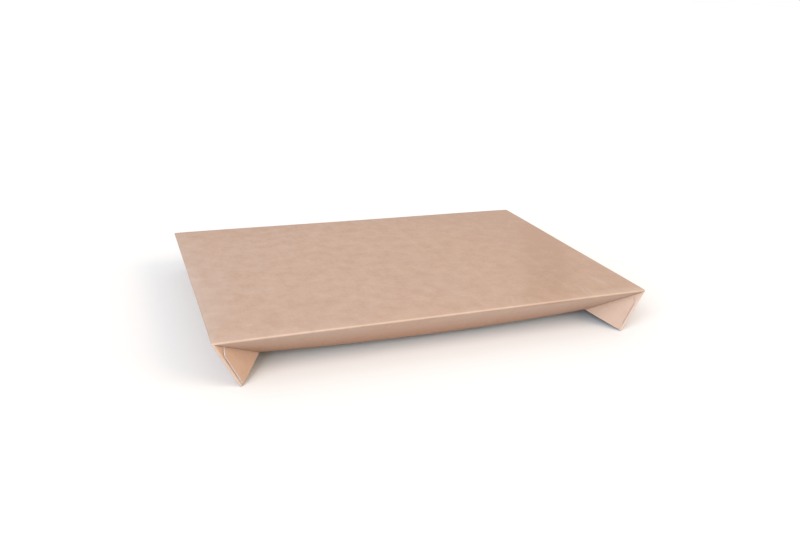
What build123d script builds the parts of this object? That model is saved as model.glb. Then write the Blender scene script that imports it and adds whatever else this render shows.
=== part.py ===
"""Large shipping box, folded from one sheet of corrugated board and pushed flat.

The box lies base up. Its two end walls and its two long walls lean inward under the
base, and at each corner the end of the long wall is folded back along a diagonal
crease, as a gusset glued over a flap that the end wall carries. The ends stand on
their cut edges. Millimetres, +Z up, +X along the length, origin at floor level under
the middle of the base.

A corner is drawn in its own frame: its origin is where the inside lines of the three
folds meet, X runs inward along the length, Y inward along the width, and Z = 0 is the
underside of the base. Every flat stretch is a plate of one board's thickness, and
every fold is a turn of that thickness about its own inside line.
"""
from build123d import *
import os
from math import acos, asin, atan2, cos, degrees, radians, sin, tan

# ---- Driving dimensions ----
LENGTH = 1200.0        # base, over the folds at its ends
WIDTH = 800.0          # base, over the folds along its sides
BOARD = 3.0            # thickness of the corrugated board
END_WALL = 134.0       # flat height of an end wall, from its fold to its cut edge
END_LEAN = 27.2        # end wall's lean inward from upright, degrees
CREASE_ANGLE = 47.4    # between a long wall's fold and its diagonal crease, degrees
WALL_BOW = 11.0        # how far the middle of a long wall's cut edge springs outward
FLAP_CLEARANCE = 1.0   # between the glue flap's slanted edge and the diagonal crease
SLIT_DOWN = 27.0       # distance down the corner that the gusset is slit along the crease
SHOULDER_DOWN = 42.0   # distance down the gusset to the shoulder of its raw edge
SHOULDER_WIDTH = 5.5   # bare glue flap beside the gusset at that shoulder
STRIP_WIDTH = 3.5      # bare glue flap beside the gusset at the raw edge's lower end
NOSE_DOWN = 7.0        # clipped lower corner of the gusset, along the raw edge
NOSE_WIDTH = 7.5       # clipped lower corner of the gusset, along its lower edge

# ---- Flute mouths in the gussets' raw edges ----
FLUTE_PITCH = 6.5      # from one flute to the next
FLUTE_DEPTH = 12.0     # how far a mouth reaches into the board
LINER = 0.4            # paper on each face of the board
MEDIUM = 0.9           # width of the waved layer where it leaves a face

# ---- Faces at a glued corner, counted in boards outward from the flap's inner face ----
FLAP_INSIDE = 0
GUSSET_INSIDE = 1
GUSSET_OUTSIDE = 2

# ---- Directions that the folds follow from those angles ----
lean = radians(END_LEAN)
crease = radians(CREASE_ANGLE)
long_lean = acos((1 - sin(lean) / tan(crease)) / cos(lean))

END_DOWN = Vector(sin(lean), 0, -cos(lean))
END_OUT = Vector(-cos(lean), 0, -sin(lean))
LONG_DOWN = Vector(0, sin(long_lean), -cos(long_lean))
LONG_OUT = Vector(0, -cos(long_lean), -sin(long_lean))
CREASE_DOWN = Vector(cos(crease), 0, 0) + LONG_DOWN * sin(crease)
GUSSET_IN = (CREASE_DOWN - END_DOWN * sin(crease)) * (1 / cos(crease))
GUSSET_OUT = END_DOWN.cross(GUSSET_IN)
UP = Vector(0, 0, 1)

inner_length = LENGTH - 2 * BOARD
inner_width = WIDTH - 2 * BOARD
base_height = END_WALL * cos(lean) + BOARD * sin(lean)


def crease_width(down):
    """Width of the gusset from the corner fold to the diagonal crease, at a distance down."""
    slope = END_DOWN.dot(LONG_OUT)
    offset = BOARD * (GUSSET_OUTSIDE * GUSSET_OUT.dot(LONG_OUT) - 1)
    return -(slope * down + offset) / GUSSET_IN.dot(LONG_OUT)


def on_gusset(down, across, level):
    """Point a distance down the corner fold, a distance across, and so many boards outward."""
    return END_DOWN * down + GUSSET_IN * across + GUSSET_OUT * (level * BOARD)


crease_end = on_gusset(END_WALL, crease_width(END_WALL), GUSSET_OUTSIDE)
crease_cut = on_gusset(SLIT_DOWN, crease_width(SLIT_DOWN), GUSSET_OUTSIDE)
long_wall = crease_end.dot(LONG_DOWN)


def plate(points, out):
    """Flat stretch of board: an outline on its inner face, thickened outward."""
    return extrude(make_face(Polyline(*points, close=True)), BOARD, dir=out)


def fold(start, end, out_from, out_to):
    """Board turned about the line from start to end, from one outward direction to the other."""
    line = (end - start).normalized()
    turn = degrees(atan2(out_from.cross(out_to).dot(line), out_from.dot(out_to)))
    edge = Polyline(start, end, end + out_from * BOARD, start + out_from * BOARD, close=True)
    axis = Axis(start, line if turn > 0 else -line)
    return revolve(make_face(edge), axis, abs(turn))


def base():
    """Flat base."""
    far_x = Vector(inner_length, 0, 0)
    far_y = Vector(0, inner_width, 0)
    return plate([Vector(0, 0, 0), far_x, far_x + far_y, far_y], UP)


def end_wall():
    """End wall between its two corner folds, with the turn of board that joins it to the base."""
    near = Vector(0, 0, 0)
    far = Vector(0, inner_width, 0)
    down = END_DOWN * END_WALL
    return plate([near, far, far + down, near + down], END_OUT) + fold(near, far, UP, END_OUT)


def long_section(x, wall_lean):
    """Cross-section of a long wall and of its fold, at a lean inward from upright."""
    down = Vector(0, sin(wall_lean), -cos(wall_lean)) * long_wall
    out = Vector(0, -cos(wall_lean), -sin(wall_lean)) * BOARD
    halfway = (UP * BOARD + out).normalized() * BOARD
    inside = Vector(x, 0, 0)
    turn = ThreePointArc(inside + UP * BOARD, inside + halfway, inside + out)
    wall = Polyline(inside + out, inside + out + down, inside + down, inside, inside + UP * BOARD)
    return make_face([turn, *wall.edges()])


def long_wall_middle():
    """Long wall between its two diagonal creases, with its fold: its cut edge bows outward."""
    near = crease_end.X
    far = inner_length - near
    middle_lean = long_lean - asin(WALL_BOW / long_wall)
    sections = [
        long_section(near, long_lean),
        long_section(inner_length / 2, middle_lean),
        long_section(far, long_lean),
    ]
    return loft(sections)


def long_wall_end():
    """Triangle of the long wall between its fold and the diagonal crease, with that fold."""
    top = crease_end - CREASE_DOWN * (long_wall / sin(crease))
    fold_end = Vector(crease_end.X, 0, 0)
    points = [Vector(top.X, 0, 0), fold_end, crease_end - LONG_OUT * BOARD]
    return plate(points, LONG_OUT) + fold(Vector(0, 0, 0), fold_end, UP, LONG_OUT)


def glue_flap():
    """Flap of the end wall: a turn round the corner fold, and a triangle under the gusset."""
    turn = fold(Vector(0, 0, 0), END_DOWN * END_WALL, END_OUT, GUSSET_OUT)
    edge = crease_width(END_WALL) - FLAP_CLEARANCE
    top = END_WALL - edge * tan(crease)
    outline = [(top, 0), (END_WALL, 0), (END_WALL, edge)]
    points = [on_gusset(down, across, FLAP_INSIDE) for down, across in outline]
    return turn + plate(points, GUSSET_OUT)


def flute_mouth(down, floor, roof):
    """Hollow between two waves of the board, as wide as a pitch at its floor, pointed at its roof."""
    half = (FLUTE_PITCH - MEDIUM) / 2
    profile = Polyline(
        on_gusset(down - half, 0, floor),
        on_gusset(down + half, 0, floor),
        on_gusset(down, 0, roof),
        close=True,
    )
    return extrude(make_face(profile), SHOULDER_WIDTH + FLUTE_DEPTH, dir=GUSSET_IN)


def flute_mouths():
    """Open ends of the flutes along the gusset's raw edge: a hollow against each face in turn."""
    low = GUSSET_INSIDE + LINER / BOARD
    high = GUSSET_OUTSIDE - LINER / BOARD
    first = SHOULDER_DOWN + FLUTE_PITCH / 2
    count = int((END_WALL - NOSE_DOWN - SHOULDER_DOWN) / FLUTE_PITCH)
    starts = [first + index * FLUTE_PITCH for index in range(count)]
    against_flap = [flute_mouth(down, low, high) for down in starts]
    against_face = [flute_mouth(down + FLUTE_PITCH / 2, high, low) for down in starts[:-1]]
    return against_flap + against_face


def gusset():
    """End of the long wall, folded back at the crease and glued over the flap."""
    outline = [
        (SLIT_DOWN, crease_width(SLIT_DOWN)),
        (SHOULDER_DOWN, SHOULDER_WIDTH),
        (END_WALL - NOSE_DOWN, STRIP_WIDTH),
        (END_WALL, STRIP_WIDTH + NOSE_WIDTH),
        (END_WALL, crease_width(END_WALL)),
    ]
    points = [on_gusset(down, across, GUSSET_INSIDE) for down, across in outline]
    turn = fold(crease_cut, crease_end, -LONG_OUT, -GUSSET_OUT)
    return plate(points, GUSSET_OUT) + turn - flute_mouths()


def corner():
    """All that one corner adds to the walls and the base, with the ball where its folds meet."""
    pole = -(END_OUT + END_DOWN + Vector(0, 1, 0))
    ball = Plane(origin=(0, 0, 0), z_dir=pole) * Sphere(BOARD)
    return ball + long_wall_end() + glue_flap() + gusset()


def folded_box():
    """Whole box, joined where the sheet runs on or is glued, as one solid."""
    to_centre = Location((-inner_length / 2, -inner_width / 2, base_height))
    left_end = to_centre * end_wall()
    near_side = to_centre * long_wall_middle()
    near_left = to_centre * corner()
    far_left = mirror(near_left, about=Plane.XZ)
    left_half = [left_end, near_left, far_left]
    right_half = [mirror(piece, about=Plane.YZ) for piece in left_half]
    sides = [near_side, mirror(near_side, about=Plane.XZ)]
    return to_centre * base() + left_half + right_half + sides


os.makedirs("parts", exist_ok=True)
export_step(folded_box(), "parts/folded_box.step")
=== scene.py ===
"""Looks of a large shipping box, folded from one sheet of corrugated board and pushed flat.

The box lies base up on a pale floor. Its walls lean inward under the base, and at each corner the long wall
runs on past a diagonal crease, folds back and is glued over the end wall's flap. Everything is in metres in
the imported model's own frame: X along the length, Y along the width, Z up, with the floor at 0.

The board is modelled as it is made. A grid of its middle surface, with the direction out of it at each point,
becomes a closed slab as thick as the board. Its cut sides are grooved between the two paper faces, and where
the cut crosses the flutes the waved layer shows in the groove.
"""

import logging
from dataclasses import dataclass
from enum import Enum
from math import acos, cos, hypot, pi, radians, sin, tan
from typing import Union

import bpy
import numpy as np
from mathutils import Matrix, Vector


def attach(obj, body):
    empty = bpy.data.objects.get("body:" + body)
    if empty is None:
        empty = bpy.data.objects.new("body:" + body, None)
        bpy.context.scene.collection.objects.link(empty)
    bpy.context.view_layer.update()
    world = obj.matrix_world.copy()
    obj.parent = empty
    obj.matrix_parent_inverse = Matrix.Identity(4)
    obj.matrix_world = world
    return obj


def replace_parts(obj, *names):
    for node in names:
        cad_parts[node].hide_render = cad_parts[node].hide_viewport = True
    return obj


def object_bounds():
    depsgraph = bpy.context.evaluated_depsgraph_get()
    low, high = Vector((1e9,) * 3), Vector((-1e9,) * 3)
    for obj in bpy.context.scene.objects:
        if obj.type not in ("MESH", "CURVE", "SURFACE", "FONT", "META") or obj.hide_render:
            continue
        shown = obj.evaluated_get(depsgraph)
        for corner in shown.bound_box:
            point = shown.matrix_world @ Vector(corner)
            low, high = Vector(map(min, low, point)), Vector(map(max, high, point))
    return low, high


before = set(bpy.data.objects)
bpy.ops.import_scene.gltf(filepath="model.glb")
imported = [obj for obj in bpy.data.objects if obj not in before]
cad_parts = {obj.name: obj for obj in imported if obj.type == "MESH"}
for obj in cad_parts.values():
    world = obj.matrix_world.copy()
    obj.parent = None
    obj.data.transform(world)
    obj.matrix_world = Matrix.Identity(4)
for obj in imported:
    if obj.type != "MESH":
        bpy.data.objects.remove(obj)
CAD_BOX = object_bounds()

log = logging.getLogger("collapsed_box")
Array = np.ndarray
Value = Union["Socket", float]
MM = 0.001
NODE = "folded_box"
BODY = "root"
# Vertex marks: wear with painted highlights and painted light, painted shade, and painted shade with warm
# bounce light.
MARKS = ("wear_and_painted_light", "painted_shade", "painted_bounce_shade")
# Points of two patches are one point if their places (in metres) and outward directions differ by less.
SAME_PLACE, SAME_DIRECTION = 2e-6, 2e-3
# Slacks for comparing lengths, and for dividing by what may be nothing.
CLOSE, TINY = 1e-6, 1e-9
# Share of a cut's run that lies across the flutes from which their open ends show in it.
SQUARE_CUT = 0.6
SHARP_ANGLE = radians(38)


# ---------------------------------------------------------------- sizes


@dataclass(frozen=True)
class Board:
    """Single-wall corrugated board, 3 mm thick."""

    thickness: float = 3.0 * MM
    liner: float = 0.4 * MM
    medium: float = 0.26 * MM
    pitch: float = 6.5 * MM
    rib: float = 0.035 * MM
    inner_radius: float = 0.3 * MM
    open_depth: float = 9.0 * MM
    torn_depth: float = 1.3 * MM
    plain_depth: float = 0.9 * MM
    sealed_depth: float = 0.03 * MM

    @property
    def half(self) -> float:
        """Half of the board's thickness."""
        return self.thickness / 2

    @property
    def middle_radius(self) -> float:
        """Radius of the board's middle surface round a fold."""
        return self.inner_radius + self.half

    @property
    def outer_radius(self) -> float:
        """Radius of the board's outer face round a fold."""
        return self.inner_radius + self.thickness


@dataclass(frozen=True)
class Form:
    """How the sheet is folded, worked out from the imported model's box and a few driving sizes.

    The fold lines between base and walls meet at four corners. The frame of the front left one is used for
    all that a corner needs, and the other three are mirrored from it.
    """

    board: Board
    low: Vector
    high: Vector
    end_lean: float = radians(27.2)
    crease_angle: float = radians(47.4)
    bow: float = 11.0 * MM
    tilt: float = radians(5.0)
    roll: float = 2.2 * MM
    roll_widths: tuple[float, float] = (9.0 * MM, 24.0 * MM)
    dip: float = 1.2 * MM
    dip_along: float = 130.0 * MM
    sag: float = 1.6 * MM
    sag_along: float = 350.0 * MM
    crown: float = 0.3 * MM
    swell: float = 0.35 * MM
    slit_down: float = 27.0 * MM
    shoulder: tuple[float, float] = (42.0 * MM, 5.5 * MM)
    nose: tuple[float, float] = (3.0 * MM, 7.5 * MM)
    strip_width: float = 3.5 * MM
    flap_gap: float = 0.5 * MM
    glue_gap: float = 0.15 * MM

    @property
    def long_lean(self) -> float:
        """Lean of a long wall: a flat sheet folded at the diagonal crease allows just one."""
        return acos((1 - sin(self.end_lean) / tan(self.crease_angle)) / cos(self.end_lean))

    @property
    def end_down(self) -> Array:
        """Direction down the left end wall."""
        return np.array([sin(self.end_lean), 0, -cos(self.end_lean)])

    @property
    def end_out(self) -> Array:
        """Direction out of the left end wall."""
        return np.array([-cos(self.end_lean), 0, -sin(self.end_lean)])

    @property
    def long_down(self) -> Array:
        """Direction down the front wall beside a corner."""
        return np.array([0, sin(self.long_lean), -cos(self.long_lean)])

    @property
    def long_out(self) -> Array:
        """Direction out of the front wall beside a corner."""
        return np.array([0, -cos(self.long_lean), -sin(self.long_lean)])

    @property
    def gusset_in(self) -> Array:
        """Direction across the gusset, from the corner fold to the diagonal crease."""
        crease = np.array([cos(self.crease_angle), 0, 0]) + self.long_down * sin(self.crease_angle)
        return (crease - self.end_down * sin(self.crease_angle)) / cos(self.crease_angle)

    @property
    def gusset_out(self) -> Array:
        """Direction out of the gusset."""
        return np.cross(self.end_down, self.gusset_in)

    @property
    def centre(self) -> Array:
        """Where the front left corner's fold lines meet, a radius inside both faces."""
        radius, thickness = self.board.inner_radius, self.board.thickness
        inward = [radius * (1 + sin(lean)) / cos(lean) for lean in (self.end_lean, self.long_lean)]
        rise = self.roll + self.dip + self.board.middle_radius * cos(self.tilt) + self.board.half
        return np.array([
            self.low.x + thickness + inward[0],
            self.low.y + thickness + inward[1],
            self.high.z + self.crown - rise,
        ])

    def lift(self, to_corner: Array) -> Array:
        """Height of a fold line over its corner.

        Args:
            to_corner: Distances from the corner.

        Returns:
            dip * (1 - exp(-distance / dip_along)) - sag * (1 - exp(-(distance / sag_along)^2)): it rises from
            the corner and sags again in the middle.
        """
        far = np.clip(to_corner, 0, None)
        rise = self.dip * (1 - np.exp(-far / self.dip_along))
        return rise - self.sag * (1 - np.exp(-(far / self.sag_along) ** 2))

    @property
    def half_length(self) -> float:
        """Half the length of the base, up to where its end folds begin."""
        return -self.centre[0] + self.board.middle_radius * sin(self.tilt)

    @property
    def half_width(self) -> float:
        """Half the width of the base, up to where its long folds begin."""
        return -self.centre[1] + self.board.middle_radius * sin(self.tilt)

    @property
    def corner(self) -> Array:
        """Point that the corner fold's axis starts from, at the front left."""
        return np.array([self.centre[0], -self.half_width, self.centre[2]])

    @property
    def end_wall(self) -> float:
        """Height of an end wall along its slope, from its fold's centre to the floor."""
        drop = self.centre[2] - self.board.outer_radius * sin(self.end_lean)
        return drop / cos(self.end_lean)

    def on_gusset(self, down: Array, across: Array, level: float) -> Array:
        """Points in the gusset's own directions.

        Args:
            down: Distances down the corner fold.
            across: Distances across, from the corner fold.
            level: Distance out from the corner fold's axis.

        Returns:
            Points, one for each pair of distances.
        """
        down, across = np.broadcast_arrays(np.asarray(down, float), np.asarray(across, float))
        flat = down[..., None] * self.end_down + across[..., None] * self.gusset_in
        return self.corner + flat + level * self.gusset_out

    @property
    def gusset_level(self) -> float:
        """Distance of the gusset's middle surface from the corner fold's axis: it lies on the flap."""
        return self.board.inner_radius + 1.5 * self.board.thickness + self.glue_gap

    def crease_width(self, down: Array, level: float) -> Array:
        """Width from the corner fold to the long wall's outer face, on a plane parallel to the gusset.

        Args:
            down: Distances down the corner fold.
            level: Distance of that plane out from the corner fold's axis.

        Returns:
            The widths: where corner + down D + across G + level N meets the plane of the wall's outer face.
        """
        at_axis = self.on_gusset(down, 0.0, level) - self.centre
        return (self.board.outer_radius - at_axis @ self.long_out) / (self.gusset_in @ self.long_out)

    def crease_at(self, down: float) -> Array:
        """Point of the diagonal crease, on the outer faces, at a distance down the corner fold."""
        level = self.gusset_level + self.board.half
        return self.on_gusset(down, self.crease_width(np.array(down), level), level)

    def raw_edge(self, down: Array) -> Array:
        """How far a gusset's slit, raw edge and nose lie from the corner fold, at each distance down."""
        first = float(self.crease_width(np.array(self.slit_down), self.gusset_level + self.board.half))
        downs = [self.slit_down, self.shoulder[0], self.end_wall - self.nose[0], self.end_wall]
        widths = [first, self.shoulder[1], self.strip_width, self.strip_width + self.nose[1]]
        return np.interp(down, downs, widths)

    @property
    def crease_line(self) -> tuple[float, float]:
        """End of the front wall: its x where the wall begins, and how far x moves for each unit down.

        The wall runs on past the crease, inside the gusset's thickness, to the face of the flap.
        """
        level = self.board.outer_radius + self.glue_gap
        downs = np.array([0.0, self.end_wall])
        ends = self.on_gusset(downs, self.crease_width(downs, level), level) - self.centre
        downs = [end @ self.long_down for end in ends]
        slope = (ends[1][0] - ends[0][0]) / (downs[1] - downs[0])
        return self.centre[0] + ends[0][0] - slope * downs[0], slope

    @property
    def long_wall(self) -> float:
        """Height of a long wall along its slope."""
        return float((self.crease_at(self.end_wall) - self.centre) @ self.long_down)

    def lean_along(self, x: Array) -> Array:
        """Lean of a long wall at each x: the cut edge bows outward by a parabola between the creases."""
        start, slope = self.crease_line
        half = -(start + slope * self.long_wall)
        bulge = np.clip(1 - (x / half) ** 2, 0, None)
        return self.long_lean - np.arcsin(self.bow / self.long_wall) * bulge


@dataclass(frozen=True)
class Rub:
    """A mark beside a fold or an edge, used for wear, painted highlights, painted light and painted shade:
    how strong it is there, from 0 to 1, and how far it reaches.
    """

    strength: float
    reach: float

    def at(self, distance: Array) -> Array:
        """Mark at each distance: strength * exp(-(distance / reach)^2)."""
        return self.strength * np.exp(-(distance / self.reach) ** 2)


@dataclass(frozen=True)
class Turn:
    """Wear with a painted highlight round a fold: its strength at the start, its gain half way round and its
    loss by the end.
    """

    start: float
    gain: float
    loss: float = 0.0

    def at(self, share: Array) -> Array:
        """Wear with a painted highlight at each share of the way round: start + gain * sin(pi * share) - loss
        * share.
        """
        return self.start + self.gain * np.sin(pi * share) - self.loss * share


@dataclass(frozen=True)
class Wear:
    """Where the board is rubbed and carries painted highlights, painted light and painted shade, most of all
    along its front fold and at its front corners.

    Attributes:
        rim: All round the base, beside its folds: wear with a painted highlight.
        front_rim: The same at the front.
        front: A wider band of painted light on the base along its front.
        left: A wide band of painted light on the base along its left end.
        left_front: What that band of painted light gains in the front half.
        corners: Strength of the painted light at the base's front left and front right corner.
        corner_reach: How far in from the front fold and from the end fold the corners' painted light reaches.
        fold: Round a long fold, from the base to the wall: wear with a painted highlight.
        end_fold: Share of that at an end fold.
        back: Share of the front fold's and front wall's wear and painted light that the back ones have.
        end_wall: Top of an end wall.
        corner_turn: Round a corner fold: wear with a painted highlight.
        corner_fold: Both sides of a corner fold: wear with a painted highlight.
        cap: Strength on the board's four corners: wear with a painted highlight.
        wall_top: Top of a long wall: wear with a painted highlight.
        wall: A wider band of painted light below that.
        line: Painted shadow: a dark line on a flap beside the gusset's raw edge.
    """

    rim: Rub = Rub(0.05, 2.5 * MM)
    front_rim: Rub = Rub(0.08, 2.5 * MM)
    # front, left, left_front and corners are painted light on the base.
    front: Rub = Rub(0.06, 25 * MM)
    left: Rub = Rub(0.12, 38 * MM)
    left_front: Rub = Rub(0.10, 38 * MM)
    corners: tuple[float, float] = (0.13, 0.30)
    corner_reach: tuple[float, float] = (22 * MM, 110 * MM)
    fold: Turn = Turn(0.18, 0.08, 0.06)
    end_fold: float = 0.3
    back: float = 0.3
    end_wall: Rub = Rub(0.06, 4 * MM)
    corner_turn: Turn = Turn(0.25, 0.15)
    corner_fold: Rub = Rub(0.25, 3 * MM)
    cap: float = 0.5
    wall_top: Rub = Rub(0.12, 3 * MM)
    # wall is painted light; line below is a painted shadow.
    wall: Rub = Rub(0.10, 24 * MM)
    line: Rub = Rub(1.0, 1.6 * MM)

    def on_base(self, form: Form, columns: Array, rows: Array, to_end: Array, to_side: Array) -> Array:
        """Wear, painted highlights and painted light of the base.

        Args:
            form: How the sheet is folded.
            columns: x of each point.
            rows: y of each point.
            to_end: Distances from the nearer end fold.
            to_side: Distances from the nearer long fold.

        Returns:
            How much each point is paled by wear, painted highlights and painted light. A fold's own bands
            stay on its side of the mitres.
        """
        by_end, by_side = to_end / form.roll_widths[0], to_side / form.roll_widths[1]
        front, left = (rows < 0) & (by_side < by_end), (columns < 0) & (by_end < by_side)
        in_side, in_end = self.corner_reach
        corner = np.where(columns < 0, *self.corners) * np.exp(-(to_side / in_side) ** 4 - to_end / in_end)
        near = np.minimum(to_end, to_side)
        wear_and_painted_light = np.where(front, self.front_rim.at(near), self.rim.at(near))
        # Painted light: a band along the front with facets at the front corners, and a band along the left
        # end.
        wear_and_painted_light += front * (self.front.at(to_side) + corner)
        return wear_and_painted_light + left * (self.left.at(to_end) + (rows < 0) * self.left_front.at(to_end))


# ---------------------------------------------------------------- meshes


@dataclass
class Patch:
    """Grid of board, as its middle surface.

    Attributes:
        middle: Points, rows by columns by 3.
        out: Unit directions from the inner paper face to the outer one.
        flat: The same points on the unfolded sheet: along the flutes, then across them.
        wear_and_painted_light: How much each point is paled, from 0 to 1: wear at the folds with painted
            highlights, and bands of painted light.
        painted_shade: How much painted shade each point has, in a diagonal crease and beside a raw edge, from
            0 to 1.
        painted_bounce_shade: How much painted shade and warm bounce light each point has, growing towards a
            long wall's cut edge, from 0 to 1.
        sealed: Points whose cut side is hidden, so that it needs no groove.
    """

    middle: Array
    out: Array
    flat: Array
    wear_and_painted_light: Union[Array, None] = None
    painted_shade: Union[Array, None] = None
    painted_bounce_shade: Union[Array, None] = None
    sealed: Union[Array, None] = None

    def __post_init__(self) -> None:
        """Fills in the marks that were left out and spreads the others over the grid."""
        shape = self.middle.shape[:2]
        self.out = np.broadcast_to(self.out, self.middle.shape).astype(float)
        for name in (*MARKS, "sealed"):
            values = getattr(self, name)
            setattr(self, name, np.broadcast_to(0.0 if values is None else values, shape).astype(float))

    def mirrored(self, x_side: int, y_side: int) -> "Patch":
        """The same patch on another side.

        Args:
            x_side: 1, or -1 to mirror it left to right.
            y_side: 1, or -1 to mirror it front to back.

        Returns:
            A new patch.
        """
        sides = np.array([x_side, y_side, 1.0])
        return Patch(self.middle * sides, self.out * sides, self.flat * sides[:2],
                     self.wear_and_painted_light, self.painted_shade, self.painted_bounce_shade, self.sealed)

    def quads(self) -> Array:
        """Corner numbers of the grid's faces, turned so that each face looks along out."""
        rows, columns = self.middle.shape[:2]
        index = np.arange(rows * columns).reshape(rows, columns)
        made = np.stack([index[:-1, :-1], index[1:, :-1], index[1:, 1:], index[:-1, 1:]], -1)
        across = self.middle[1:, :-1] - self.middle[:-1, :-1]
        along = self.middle[:-1, 1:] - self.middle[:-1, :-1]
        facing = (np.cross(across, along) * self.out[:-1, :-1]).sum()
        made = made.reshape(-1, 4)
        return made if facing > 0 else made[:, ::-1]


class Side(Enum):
    """Kinds of face on a slab, each with its own finish. The value is the material's place."""

    OUTER = 0
    INNER = 1
    CUT = 2
    FLUTE = 3


@dataclass
class Slab:
    """Closed slab of paper or board, thickened from patches that join where their points agree.

    Attributes:
        patches: Grids of its middle surface.
        thickness: Its thickness.
        board: The board's sizes.
        groove: Depth of the groove in a cut side that crosses the flutes, or 0 for a plain slab.
        ribbed: Whether the flutes show through as ripples.
    """

    patches: list[Patch]
    thickness: float
    board: Board
    groove: float = 0.0
    ribbed: bool = False

    def gathered(self, name: str, *width: int) -> Array:
        """What all the patches hold under that name, one row for each point."""
        return np.concatenate([getattr(patch, name).reshape(-1, *width) for patch in self.patches])

    def joined(self) -> tuple[Array, Array, Array, dict[str, Array], Array, Array]:
        """Puts the patches together.

        Returns:
            Middle points, outward directions, flat places, marks by name, seals and quads, without doubles.
        """
        start, quads = 0, []
        for patch in self.patches:
            quads.append(patch.quads() + start)
            start += patch.middle.shape[0] * patch.middle.shape[1]
        middle, out, flat = self.gathered("middle", 3), self.gathered("out", 3), self.gathered("flat", 2)
        key = np.round(np.hstack([middle / SAME_PLACE, out / SAME_DIRECTION])).astype(np.int64)
        _, first, place = np.unique(key, axis=0, return_index=True, return_inverse=True)
        place = place.ravel()
        marks = {name: self.gathered(name)[first] for name in MARKS}
        sealed = np.zeros(len(first))
        np.maximum.at(sealed, place, self.gathered("sealed"))
        return middle[first], out[first], flat[first], marks, sealed > 0, place[np.concatenate(quads)]

    def rim(self, middle: Array, out: Array, flat: Array, quads: Array) -> tuple[Array, Array, Array]:
        """Finds the slab's cut sides.

        Args:
            middle: Points of the middle surface.
            out: Outward directions.
            flat: Places on the unfolded sheet.
            quads: Faces.

        Returns:
            Rim edges, and for each point its direction into the sheet and how squarely the cut crosses the
            flutes. An edge is on the rim where no other face runs along it the other way.
        """
        edges = np.concatenate([quads[:, [k, (k + 1) % 4]] for k in range(4)])
        count = len(middle)
        there, back = edges[:, 0] * count + edges[:, 1], edges[:, 1] * count + edges[:, 0]
        edges = edges[~np.isin(there, back)]
        run = middle[edges[:, 1]] - middle[edges[:, 0]]
        into = np.cross(out[edges].mean(1), run / np.linalg.norm(run, axis=1, keepdims=True))
        flat_run = np.abs(flat[edges[:, 1]] - flat[edges[:, 0]])
        square = flat_run[:, 1] / np.maximum(flat_run.sum(1), TINY)
        total, share = np.zeros((count, 3)), np.zeros(count)
        for end in (0, 1):
            np.add.at(total, edges[:, end], into)
            np.maximum.at(share, edges[:, end], square)
        total /= np.maximum(np.linalg.norm(total, axis=1, keepdims=True), TINY)
        return edges, total, share

    def build(self, name: str, finishes: list[bpy.types.Material]) -> bpy.types.Object:
        """Makes the object.

        The two faces are middle +- thickness/2 along out. A rib of the waved layer shows through each paper
        face as a ripple, rib * cos(2 pi v / pitch), with v the place across the flutes. A cut side steps from
        one face to the other through six rings: in past a liner, inward by the groove's depth, across, and
        out again.

        Args:
            name: Name of the piece.
            finishes: Materials, in the order of Side.

        Returns:
            The new object, at the origin.
        """
        middle, out, flat, marks, sealed, quads = self.joined()
        edges, into, square = self.rim(middle, out, flat, quads)
        half, count = self.thickness / 2, len(middle)
        ripple = self.board.rib * self.ribbed * np.cos(2 * pi * flat[:, 1] / self.board.pitch)
        outer = middle + out * (half + ripple)[:, None]
        inner = middle - out * (half - ripple)[:, None]
        numbers, place = np.unique(edges, return_inverse=True)
        place, size = place.reshape(-1, 2), len(numbers)
        rings = []
        if self.groove:
            depth = np.where(square[numbers] > SQUARE_CUT, self.groove, self.board.plain_depth)
            depth = np.where(sealed[numbers], self.board.sealed_depth, depth)[:, None] * into[numbers]
            step = out[numbers] * self.board.liner
            high, low = outer[numbers] - step, inner[numbers] + step
            rings = [high, high + depth, low + depth, low]
        points = np.concatenate([outer, inner, *rings])
        starts = [2 * count + k * size for k in range(len(rings))]
        levels = [numbers, *[start + np.arange(size) for start in starts], numbers + count]
        a, b = place[:, 0], place[:, 1]
        sides = [np.stack([here[b], here[a], there[a], there[b]], -1)
                 for here, there in zip(levels[:-1], levels[1:])]
        faces = np.concatenate([quads, quads[:, ::-1] + count, *sides])
        kinds = [Side.CUT, Side.FLUTE, Side.FLUTE, Side.FLUTE, Side.CUT] if rings else [Side.CUT]
        kind = np.concatenate([np.full(len(quads), Side.OUTER.value), np.full(len(quads), Side.INNER.value),
                               *[np.full(len(edges), k.value) for k in kinds]])
        source = np.concatenate([np.arange(count), np.arange(count), *[numbers] * len(rings)])
        marks = {label: values[source] for label, values in marks.items()}
        return mesh_object(name, points, faces, kind, flat[source], marks, finishes)


def mesh_object(name: str, points: Array, faces: Array, kind: Array, flat: Array,
                marks: dict[str, Array], finishes: list[bpy.types.Material]) -> bpy.types.Object:
    """Puts whole arrays into a new mesh.

    Args:
        name: Name of the piece and of its mesh.
        points: Vertices, n by 3.
        faces: Corner numbers, m by 4.
        kind: Material number of each face.
        flat: Place of each vertex on the unfolded sheet, kept as the UV map "sheet".
        marks: Numbers kept at each vertex, by name.
        finishes: Materials.

    Returns:
        The new object, linked into the scene.
    """
    mesh = bpy.data.meshes.new(name)
    mesh.from_pydata(points.tolist(), [], faces.tolist())
    mesh.polygons.foreach_set("material_index", kind.astype(np.int32))
    mesh.uv_layers.new(name="sheet").data.foreach_set("uv", flat[faces.ravel()].astype(np.float32).ravel())
    for label, values in marks.items():
        mesh.attributes.new(label, "FLOAT", "POINT").data.foreach_set("value", values.astype(np.float32))
    for finish in finishes:
        mesh.materials.append(finish)
    mesh.shade_smooth()
    mesh.set_sharp_from_angle(angle=SHARP_ANGLE)
    mesh.validate()
    return linked(name, mesh)


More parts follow.
